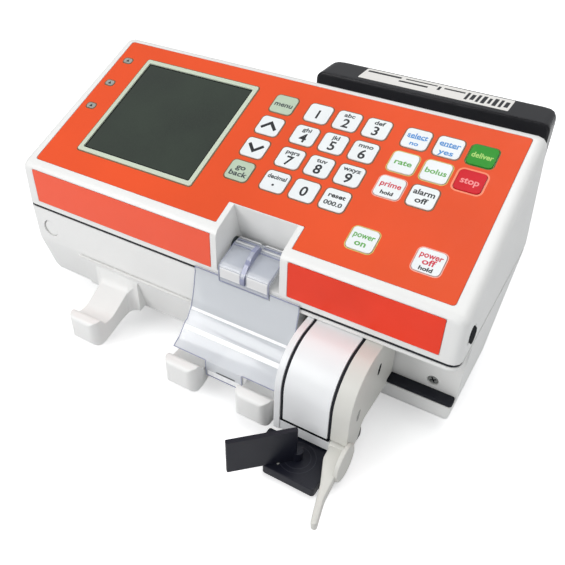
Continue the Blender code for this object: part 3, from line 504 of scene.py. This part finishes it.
def add_outline(solid, place, size, radius, width, slot=0):
    """A line on the panel round an opening: printed colour round grouped keys, painted shade in the gap
    everywhere else.
    """
    inner = rounded_rectangle(place, size, radius, GAP + CLEAR)
    outer = rounded_rectangle(place, size, radius, GAP + width)
    add_ring(solid, inner, outer, -SUNK, PRINT_HEIGHT, slot=slot)


def print_key_lines():
    """An outline round each key: printed in the colour of its group, and for keys without a group an olive
    line of painted shade in the gap.
    """
    looks = ["olive_gap_shade", *KEY_LINES]
    solid = bmesh.new()
    for key in KEYS:
        line = LINE_OF.get(key, "olive_gap_shade")
        width = STOP_LINE_WIDTH if line == "line_pink" else LINE_WIDTH
        add_outline(solid, on_panel(key), KEY_SIZE, KEY_RADIUS, width, looks.index(line))
    piece("key_outlines", solid, "case", looks, ON_PANEL)


DIGIT, SMALL, WORD, WIDE, TINY = 6.9, 3.0, 3.8, 4.4, 2.5  # mm, heights of a capital
# Each key's rows: the words, their height, how far up from the key's middle, and the ink.
LEGENDS = {
    "key_menu": [("menu", WORD, 0, "ink_grey")],
    "key_back": [("go", WORD, 2.6, "ink_grey"), ("back", WORD, -2.4, "ink_grey")],
    "key_1": [("1", DIGIT, -0.6, "ink_black")],
    "key_2": [("abc", SMALL, 4.4, "ink_grey"), ("2", DIGIT, -1.9, "ink_black")],
    "key_3": [("def", SMALL, 4.4, "ink_grey"), ("3", DIGIT, -1.9, "ink_black")],
    "key_4": [("ghi", SMALL, 4.4, "ink_grey"), ("4", DIGIT, -1.9, "ink_black")],
    "key_5": [("jkl", SMALL, 4.4, "ink_grey"), ("5", DIGIT, -1.9, "ink_black")],
    "key_6": [("mno", SMALL, 4.4, "ink_grey"), ("6", DIGIT, -1.9, "ink_black")],
    "key_7": [("pqrs", SMALL, 4.4, "ink_grey"), ("7", DIGIT, -1.9, "ink_black")],
    "key_8": [("tuv", SMALL, 4.4, "ink_grey"), ("8", DIGIT, -1.9, "ink_black")],
    "key_9": [("wxyz", SMALL, 4.4, "ink_grey"), ("9", DIGIT, -1.9, "ink_black")],
    "key_0": [("0", DIGIT, -0.4, "ink_black")],
    "key_decimal": [("decimal", SMALL, 3.2, "ink_grey"), (".", DIGIT, 0.2, "ink_black")],
    "key_reset": [("reset", SMALL, 3.0, "ink_black"), ("000.0", SMALL, -2.6, "ink_grey")],
    "key_no": [("select", WORD, 2.3, "ink_blue"), ("no", SMALL, -3.6, "ink_blue")],
    "key_yes": [("enter", WORD, 2.3, "ink_blue"), ("yes", WORD, -4.0, "ink_blue")],
    "key_start": [("deliver", WORD, 0, "ink_light_green")],
    "key_rate": [("rate", WORD, 0, "ink_green")],
    "key_bolus": [("bolus", WORD, 0, "ink_green")],
    "key_stop": [("stop", WIDE, 0, "ink_pink")],
    "key_prime": [("prime", WORD, 2.0, "ink_red"), ("hold", TINY, -4.2, "ink_black")],
    "key_alarm_off": [("alarm", WORD, 2.9, "ink_black"), ("off", WORD, -2.6, "ink_black")],
    "key_power_on": [("power", WORD, 2.6, "ink_green"), ("on", WORD, -2.6, "ink_green")],
    "key_power_off": [("power", WORD, 3.6, "ink_red"), ("off", WORD, -0.6, "ink_red"),
                      ("hold", TINY, -5.0, "ink_black")],
}
DIGIT_WEIGHT, WORD_WEIGHT = 0.2, 0.13
WORD_STRETCH = 1.25
KEY_TEXT_WIDTH = 12.6
UNDERLINED = {"key_no": 10.6, "key_yes": 10.0}
CHEVRONS = {"key_up": 1, "key_down": -1}
CHEVRON_REACH, CHEVRON_RISE, CHEVRON_WIDTH = 5.0, 2.6, 2.1


def print_legends():
    """The words, digits and arrows on the keys. Each legend travels with its key."""
    for key in KEYS:
        across, up = on_panel(key)
        rows = LEGENDS.get(key, [])
        looks = sorted({row[3] for row in rows}) or ["ink_black"]
        solid = bmesh.new()
        for words, height, offset, look in rows:
            weight = DIGIT_WEIGHT if height == DIGIT else WORD_WEIGHT
            wide = WORD_STRETCH if height < WIDE else 1.0
            add_words(solid, words, height, (across, up + offset), KEY_TOP + PRINT_HEIGHT / 2,
                      looks.index(look), weight, wide, KEY_TEXT_WIDTH)
        shapes = []
        if key in UNDERLINED:
            shapes.append(rounded_rectangle((across, up + 0.1), (UNDERLINED[key], 0.5), 0.1, steps=1))
        if key in CHEVRONS:
            rise = CHEVRON_RISE * CHEVRONS[key]
            left, right = across - CHEVRON_REACH, across + CHEVRON_REACH
            shapes.append(stroke([(left, up - rise), (across, up + rise), (right, up - rise)], CHEVRON_WIDTH))
        for shape in shapes:
            add_slab(solid, shape, KEY_TOP - SUNK, KEY_TOP + PRINT_HEIGHT)
        piece(key.replace("key_", "legend_"), solid, key, looks, ON_PANEL)


LCD_SIZE, LCD_RIM = (91.5, 87.2), 3.3
LCD_DEPTH = 0.2  # mm, how far the display's face lies below the panel


def print_display():
    """Painted shade: an olive line on the panel in the gap round the display's frame, and a dark band inside
    the frame's rim, where the glass lies sunk below it.
    """
    middle = on_panel("lcd_frame")
    window = (LCD_SIZE[0] - 2 * LCD_RIM, LCD_SIZE[1] - 2 * LCD_RIM)
    solid = bmesh.new()
    add_outline(solid, middle, LCD_SIZE, 1.5, 0.6)
    inner, outer = (rounded_rectangle(middle, window, 0.8, grow) for grow in (-0.75, -CLEAR))
    add_ring(solid, inner, outer, -LCD_DEPTH - 0.02, PRINT_HEIGHT - LCD_DEPTH, slot=1)
    piece("display_outlines", solid, "case", ["olive_gap_shade", "deep_black"], ON_PANEL)


LAMP_SIZE, LAMP_RADIUS = (6.6, 4.4), 1.6
LAMP_ACROSS, LAMPS_UP = 8.0, (98.7, 75.9, 53.1)
LAMP_TOP = 0.2  # mm, how far a lamp stands above the panel


def print_lamps():
    """Olive outlines of painted shade in the gaps round the three indicator lamps, and their plain marks."""
    solid = bmesh.new()
    for up in LAMPS_UP:
        add_outline(solid, (LAMP_ACROSS, up), LAMP_SIZE, LAMP_RADIUS, 0.5)
        mark = [(LAMP_ACROSS - 1.3, up - 1.0), (LAMP_ACROSS + 1.3, up - 1.0), (LAMP_ACROSS, up + 1.3)]
        add_slab(solid, mark, LAMP_TOP - SUNK, LAMP_TOP + PRINT_HEIGHT, slot=1)
    piece("lamp_outlines", solid, "case", ["olive_gap_shade", "ink_black"], ON_PANEL)


# ---------------------------------------------------------------- small pieces

LABEL_PLACE, LABEL_SIZE = (70.3, 114.6), (100.5, 17.4)
LABEL_BARS = [((34, 119.2), (24, 2.6)), ((60, 119.4), (22, 1.6)), ((56, 114.2), (20, 2.4)),
              ((73, 116.6), (1.8, 6.0)), ((83, 118.2), (14, 2.0))]
UPRIGHT_BARS, FIRST_UPRIGHT, UPRIGHT_PITCH = 8, (92.5, 114.4), 3.6


def make_handle_label():
    """A plain paper label along the top of the handle, with bars and no words."""
    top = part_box("handle")[1].z / MM
    solid = bmesh.new()
    add_slab(solid, rounded_rectangle(LABEL_PLACE, LABEL_SIZE, 0.8), top - 0.05, top + 0.1)
    bars = list(LABEL_BARS)
    for i in range(UPRIGHT_BARS):
        place = (FIRST_UPRIGHT[0] + UPRIGHT_PITCH * i, FIRST_UPRIGHT[1])
        bars.append((place, (1.8 + 0.7 * (i % 2), 11.5 - 3.0 * (i % 3 == 1))))
    for place, size in bars:
        add_slab(solid, rounded_rectangle(place, size, 0.2, steps=2), top + 0.08, top + 0.13, slot=1)
    piece("handle_label", solid, "case", ["paper", "ink_black"])


SCREW_PLACE = (0.1375, -0.0135, 0.031)
SCREW_RADIUS, SCREW_HEIGHT, SCREW_SIDES = 3.3, 1.2, 24
SCREW_DOME = ((1.0, 0.0), (1.0, 0.45), (0.9, 0.72), (0.62, 0.95), (0.3, 1.0))  # shares of both
CROSS_LENGTH, CROSS_WIDTH, CROSS_TURN = 0.62, 0.13, 0.5


def make_recess_screw():
    """A domed screw head on the wall behind the driver, its cross recess drawn as a dark cross of painted
    shade.
    """
    solid = bmesh.new()
    rings = []
    for share, height in SCREW_DOME:
        points = circle((0.0, 0.0), SCREW_RADIUS * share, SCREW_SIDES)
        rings.append([solid.verts.new((x, y, SCREW_HEIGHT * height)) for x, y in points])
    for lower, upper in zip(rings, rings[1:]):
        for i in range(SCREW_SIDES):
            j = (i + 1) % SCREW_SIDES
            solid.faces.new((lower[i], lower[j], upper[j], upper[i]))
    solid.faces.new(rings[0][::-1])
    solid.faces.new(rings[-1])
    arm, half = SCREW_RADIUS * CROSS_LENGTH, SCREW_RADIUS * CROSS_WIDTH
    bar = [(-arm, -half), (arm, -half), (arm, half), (-arm, half)]
    # painted shade in the cross recess
    for turn in (0, math.pi / 2):
        add_slab(solid, bar, SCREW_HEIGHT * 0.8, SCREW_HEIGHT * 1.04,
                 Matrix.Rotation(turn + CROSS_TURN, 4, "Z"), slot=1)
    piece("recess_screw", solid, "case", ["screw_steel", "deep_black"],
          Matrix.Translation(SCREW_PLACE) @ FACING_FRONT, smooth=True)


# Each slot's place, and the look of its painted shade.
COVER_SLOTS = (((-42.0, 50.5), "deep_black"), ((-66.5, 36.0), "hole_grey"))
COVER_SLOT_SIZE, COVER_SLOT_TURN = (7.6, 3.2), 1.28


def make_cover_slots():
    """Two round-ended slots in the driver's side cover, drawn as sheets of painted shade, one black and one
    grey.
    """
    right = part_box("driver_side_cover")[1].x / MM
    for i, (place, look) in enumerate(COVER_SLOTS):
        solid = bmesh.new()
        add_slab(solid, capsule(place, *COVER_SLOT_SIZE, COVER_SLOT_TURN), right - 0.3, right + 0.04)
        piece(f"cover_slot_{i + 1}", solid, "driver", [look], FACING_RIGHT)


CLAMP_SIDES = (6.4, 41.0)
CLAMP_PIVOT = (-21.5, 84.0)


def make_pivot_cap():
    """Round end of the clamp's pin, on the left wall of the notch."""
    solid = bmesh.new()
    add_slab(solid, circle(CLAMP_PIVOT, 4.4, 40), 4.02, 4.6)
    piece("clamp_pivot_cap", solid, "case", ["ink_grey"], FACING_RIGHT, smooth=True)


INLET_PIN_RADIUS, INLET_PIN_PITCH, INLET_PIN_ENDS = 1.26, 8.6, (-149.2, -138.0)


def make_inlet_pins():
    """The two round contacts inside the power inlet."""
    solid = bmesh.new()
    low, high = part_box("power_inlet")
    middle_y, middle_z = (low.y + high.y) / 2 / MM, (low.z + high.z) / 2 / MM
    for side in (-1, 1):
        outline = circle((middle_y + side * INLET_PIN_PITCH / 2, middle_z), INLET_PIN_RADIUS, 20)
        add_slab(solid, outline, *INLET_PIN_ENDS)
    piece("inlet_pins", solid, "case", ["steel"], FACING_RIGHT, smooth=True)


# ---------------------------------------------------------------- clear tray and clamp

# Sides are places along X. Profiles are (Y, Z) points of the sheet, from its top edge down.
TRAY_SIDES, TRAY_TAB_SIDES = (-11.8, 61.2), (12.4, 38.8)
TRAY_SHEET = [(-42.6, 73.9), (-42.6, 69.2), (-45.6, 56.2), (-48.8, 46.4), (-53.7, 39.6), (-57.0, 38.3),
              (-62.9, 31.9), (-69.4, 28.5)]
TRAY_TAB = [(-69.6, 27.0), (-69.25, 15.9)]
TRAY_PAINTED_HIGHLIGHTS = {3: (0.0, 0.22), 5: (0.0, 0.36)}  # painted highlights: after which point, and the shares that are painted bright
SHEET_LINE, EDGE_WIDTH = 0.12, 0.5
TOP_EDGE_ENDS = (5.4, 42.0)


def shifted(points, out):
    """A side profile moved off the sheet, forward and a little up."""
    return [(y - out, z + 0.4 * out) for y, z in points]


def along_sheet(solid, points, x, width, out, slot):
    """A thin ribbon that follows the sheet's side profile at one place across it."""
    line = stroke(shifted(points, out), SHEET_LINE)
    add_slab(solid, line, x - width / 2, x + width / 2, FACING_RIGHT, slot)


def across_sheet(solid, start, end, sides, out, slot):
    """A flat band across the sheet between two points of its side profile."""
    line = stroke(shifted([start, end], out), SHEET_LINE)
    add_slab(solid, line, *sides, FACING_RIGHT, slot)


def between(a, b, share):
    """The point at a share of the way from one point to another."""
    return tuple(p + (q - p) * share for p, q in zip(a, b))


def make_tray_lines():
    """Edges of the clear tray, and painted highlights across two of its bends and its tab."""
    solid = bmesh.new()
    (left, right), (tab_left, tab_right) = TRAY_SIDES, TRAY_TAB_SIDES
    for x in (left + EDGE_WIDTH / 2, right - EDGE_WIDTH / 2):
        along_sheet(solid, TRAY_SHEET, x, EDGE_WIDTH, 0.12, 0)
    for i, (low, high) in TRAY_PAINTED_HIGHLIGHTS.items():
        a, b = TRAY_SHEET[i], TRAY_SHEET[i + 1]
        across_sheet(solid, between(a, b, low), between(a, b, high), (left + 1.0, right - 1.0), 0.1, 1)
    edge = TRAY_SHEET[-1]
    for sides in ((left, tab_left), (tab_right, right)):
        across_sheet(solid, between(edge, TRAY_SHEET[-2], 0.07), edge, sides, 0.14, 0)
    for x in (tab_left + EDGE_WIDTH / 2, tab_right - EDGE_WIDTH / 2):
        along_sheet(solid, [edge, *TRAY_TAB], x, EDGE_WIDTH, 0.12, 0)
    across_sheet(solid, between(TRAY_TAB[1], TRAY_TAB[0], 0.08), TRAY_TAB[1], TRAY_TAB_SIDES, 0.14, 0)
    # painted highlight across the tab
    across_sheet(solid, between(*TRAY_TAB, 0.55), between(*TRAY_TAB, 0.9),
                 (tab_left + 1.5, tab_right - 1.5), 0.1, 1)
    across_sheet(solid, between(*TRAY_TAB, 0.42), between(*TRAY_TAB, 0.5),
                 (tab_left + 8, tab_right - 5), 0.12, 2)
    for sides in ((left, TOP_EDGE_ENDS[0]), (TOP_EDGE_ENDS[1], right)):
        across_sheet(solid, TRAY_SHEET[0], between(*TRAY_SHEET[:2], 0.18), sides, 0.12, 0)
    piece("tray_lines", solid, "case", ["clear_edge", "painted_highlight_white", "ink_black"])


def softened(points, rounds=3):
    """Cuts the corners of a closed outline a few times."""
    for _ in range(rounds):
        pairs = list(zip(points, points[1:] + points[:1]))
        points = [between(a, b, share) for a, b in pairs for share in (0.25, 0.75)]
    return points


def block(y, z, low, high):
    """Outline of a rectangle whose corners are offsets from a place."""
    return [(y + low[0], z + low[1]), (y + high[0], z + low[1]), (y + high[0], z + high[1]),
            (y + low[0], z + high[1])]


CLAMP_LIP = -43.2  # Y of the clamp's hanging front
RIB_HALF = 1.45
SIDE_LINE = 0.45


def make_clamp_lines():
    """The clamp's raised rib, the ridges along its barrel, white with painted highlight, and a painted
    highlight along the bend of its front.
    """
    (left, right), (pivot_y, pivot_z), lip = CLAMP_SIDES, CLAMP_PIVOT, CLAMP_LIP
    middle = (left + right) / 2
    rib = softened([(pivot_y - 3.0, pivot_z + 3.0), (pivot_y - 4.0, pivot_z + 8.2),
                    (pivot_y - 13.0, pivot_z + 6.7), (lip - 1.9, 80.2), (lip - 1.7, 74.0),
                    (lip + 0.6, 74.0), (lip + 1.0, 80.0), (pivot_y - 8.0, pivot_z + 3.0)])
    solid = bmesh.new()
    add_slab(solid, rib, middle - RIB_HALF, middle + RIB_HALF, FACING_RIGHT, 0)
    halves = ((left + 0.6, middle - 1.6), (middle + 1.6, right - 0.6))
    for y, z in ((pivot_y + 1.6, pivot_z + 4.62), (pivot_y - 3.2, pivot_z + 4.4)):
        ridge = softened(block(y, z, (-0.5, -0.3), (0.5, 0.35)), 1)
        for sides in halves:
            add_slab(solid, ridge, *sides, FACING_RIGHT, 1)
    for y, z in ((pivot_y - 0.8, pivot_z + 4.6), (pivot_y - 5.4, pivot_z + 3.7)):
        groove = block(y, z, (-0.3, -0.3), (0.3, 0.1))
        for sides in halves:
            add_slab(solid, groove, *sides, FACING_RIGHT, 2)
    bend = [(lip - 0.1, 79.6), (lip + 0.5, 81.3), (lip + 1.7, 82.1)]
    # painted highlight along the front bend
    shine = stroke([(lip - 0.1, 73.6), *bend, (lip + 3.4, 82.7)], 0.16)
    for sides in ((left + 1.0, middle - 2.4), (middle + 2.4, right - 1.0)):
        add_slab(solid, shine, *sides, FACING_RIGHT, 1)
    side = stroke([(lip - 0.1, 70.4), *bend, (pivot_y - 3.4, pivot_z + 4.3)], 0.3)
    for x in (left - 0.02, right - 0.43):
        add_slab(solid, side, x, x + SIDE_LINE, FACING_RIGHT, 2)
    lower = block(lip, 70.25, (-0.2, 0.0), (0.0, 0.65))
    add_slab(solid, lower, left + 0.3, right - 0.3, FACING_RIGHT, 2)
    piece("clamp_lines", solid, "barrel_clamp", ["rib_tint", "painted_highlight_tint", "clear_edge"])


# ---------------------------------------------------------------- right side and driver

SOUNDER_PLACE, SOUNDER_SIZE, SOUNDER_TURN = (-24.0, 82.5), (19.0, 9.6), 2.36
WALL_PLACE = -8.0  # Y where the right wall's draft is measured, beside the sounder
WALL_HEIGHTS = (76.0, 90.0)


def wall_at(node, y, z):
    """X, in mm, of a node's right-hand face at a height."""
    start = Vector((1.0, y * MM, z * MM))
    _, point, _, _ = NODES[node].ray_cast(start, Vector((-1, 0, 0)))
    return point.x / MM


def make_sound_slot():
    """Painted shade: a dark sheet in the sounder's opening on the right side, leaned with the wall."""
    solid = bmesh.new()
    low, high = (wall_at("upper_housing", WALL_PLACE, height) for height in WALL_HEIGHTS)
    lean = math.atan2(low - high, WALL_HEIGHTS[1] - WALL_HEIGHTS[0])
    upright = Matrix.Translation(((low + high) / 2, *SOUNDER_PLACE))
    place = upright @ Matrix.Rotation(-lean, 4, "Y") @ FACING_RIGHT
    add_slab(solid, capsule((0.0, 0.0), *SOUNDER_SIZE, SOUNDER_TURN), -0.5, 0.06, place)
    piece("sounder_slot_shade", solid, "case", ["deep_black"])


FLIPPER_PIVOT = (88.8, -89.8)
BASE_THICKNESS = 6.7
BASE_RINGS, BASE_RING_WIDTH = (7.5, 10.5), 0.5
BASE_PIN = (81.5, -99.0)


def make_base_marks():
    """Faint rings of painted sheen round the flipper's pivot, where its round boss catches the light, and a
    small pin on the driver's black base.
    """
    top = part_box("flipper_base")[0].z / MM + BASE_THICKNESS
    solid = bmesh.new()
    for radius in BASE_RINGS:
        inner, outer = (circle(FLIPPER_PIVOT, r, 40) for r in (radius, radius + BASE_RING_WIDTH))
        add_ring(solid, inner, outer, top - 0.1, top + 0.06)
    add_slab(solid, circle(BASE_PIN, 0.8, 16), top - 0.1, top + 0.2, slot=1)
    piece("base_marks", solid, "driver", ["painted_sheen_ring", "hole_grey"])


SEAM_SIDES = (70.8, 102.0)


def make_driver_seam():
    """Dark seam along the lower front of the plunger driver."""
    solid = bmesh.new()
    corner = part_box("driver_cover")[0] / MM
    seam = block(corner.y, corner.z, (-0.5, 0.1), (1.5, 1.2))
    add_slab(solid, seam, *SEAM_SIDES, FACING_RIGHT)
    piece("driver_lower_seam", solid, "driver", ["deep_black"])


print_key_lines()
print_legends()
make_tray_lines()
make_driver_seam()
make_clamp_lines()
make_sound_slot()
make_base_marks()
print_display()
print_lamps()
make_handle_label()
make_recess_screw()
make_cover_slots()
make_pivot_cap()
make_inlet_pins()


# ---------------------------------------------------------------- floor, light and camera

def paper_floor():
    """Pale paper, which throws less light back on the object than it shows."""
    material, tree, shader = blank("floor_paper")
    place = add(tree, "TexCoord").outputs["Object"]
    cloud = add(tree, "TexNoise", {"Vector": place, "Scale": 3.0, "Detail": 3.0}).outputs["Fac"]
    bounced = add(tree, "LightPath").outputs["Is Diffuse Ray"]
    pale = mixed(tree, cloud, linear(250, 250, 250), linear(253, 253, 253))
    tree.links.new(mixed(tree, bounced, pale, linear(216, 217, 219)), shader.inputs["Base Color"])
    shader.inputs["Roughness"].default_value = 0.9
    shader.inputs["Specular IOR Level"].default_value = 0.0
    seen = add(tree, "LightPath").outputs["Is Camera Ray"]
    tree.links.new(spread(tree, seen, 0.0, 0.42, (0.0, 1.0)), shader.inputs["Emission Strength"])
    shader.inputs["Emission Color"].default_value = (1, 1, 1, 1)
    return material


FLOOR_REACH, FLOOR_DROP = 6.0, 0.0002


def make_floor():
    """A wide sheet just below the feet."""
    mesh = bpy.data.meshes.new("floor")
    corners = [(x * FLOOR_REACH, y * FLOOR_REACH, 0) for x, y in ((-1, -1), (1, -1), (1, 1), (-1, 1))]
    mesh.from_pydata(corners, [], [(0, 1, 2, 3)])
    mesh.materials.append(paper_floor())
    floor = bpy.data.objects.new("floor", mesh)
    floor.location.z = -FLOOR_DROP
    bpy.context.scene.collection.objects.link(floor)


# Each area light's name, place, size and watts. They all aim at the middle of the object.
LIGHTS = (
    ("key_light", (-0.8, -1.3, 1.0), (1.2, 0.9), 15.0),
    ("top_light", (0.3, 0.3, 1.7), (1.6, 1.0), 11.0),
    ("right_fill", (1.3, -0.8, 0.9), (1.0, 0.8), 1.5),
)
LIGHT_TARGET = (0, 0, 0.05)
WORLD_COLOUR, WORLD_STRENGTH = (0.97, 0.985, 1.0, 1), 0.43


def make_light(name, place, size, watts):
    """A rectangular area light that faces the object."""
    light = bpy.data.lights.new(name, "AREA")
    light.shape = "RECTANGLE"
    light.size, light.size_y = size
    light.energy = watts
    lamp = bpy.data.objects.new(name, light)
    lamp.location = place
    lamp.rotation_euler = (Vector(LIGHT_TARGET) - Vector(place)).to_track_quat("-Z", "Y").to_euler()
    bpy.context.scene.collection.objects.link(lamp)


def make_studio():
    """An even pale surround and three soft lights."""
    world = bpy.data.worlds.new("studio")
    world.use_nodes = True
    background = world.node_tree.nodes["Background"]
    background.inputs["Color"].default_value = WORLD_COLOUR
    background.inputs["Strength"].default_value = WORLD_STRENGTH
    bpy.context.scene.world = world
    for light in LIGHTS:
        make_light(*light)
    bpy.context.scene.view_settings.view_transform = "Standard"


CAMERA_PLACE = (0.1962, -0.3069, 0.3262)
CAMERA_ANGLES = (51.273, -0.614, 30.989)  # degrees
CAMERA_LENS, CAMERA_SHIFT = 43.76, (0.0250, 0.0055)


def make_camera():
    """The camera, above the right front corner and looking down."""
    camera = bpy.data.cameras.new("camera")
    camera.sensor_width = 36.0
    camera.lens = CAMERA_LENS
    camera.shift_x, camera.shift_y = CAMERA_SHIFT
    camera.clip_start, camera.clip_end = 0.01, 30.0
    holder = bpy.data.objects.new("camera", camera)
    holder.location = CAMERA_PLACE
    holder.rotation_euler = Euler([math.radians(a) for a in CAMERA_ANGLES], "XYZ")
    bpy.context.scene.collection.objects.link(holder)
    bpy.context.scene.camera = holder


make_floor()
make_studio()
make_camera()
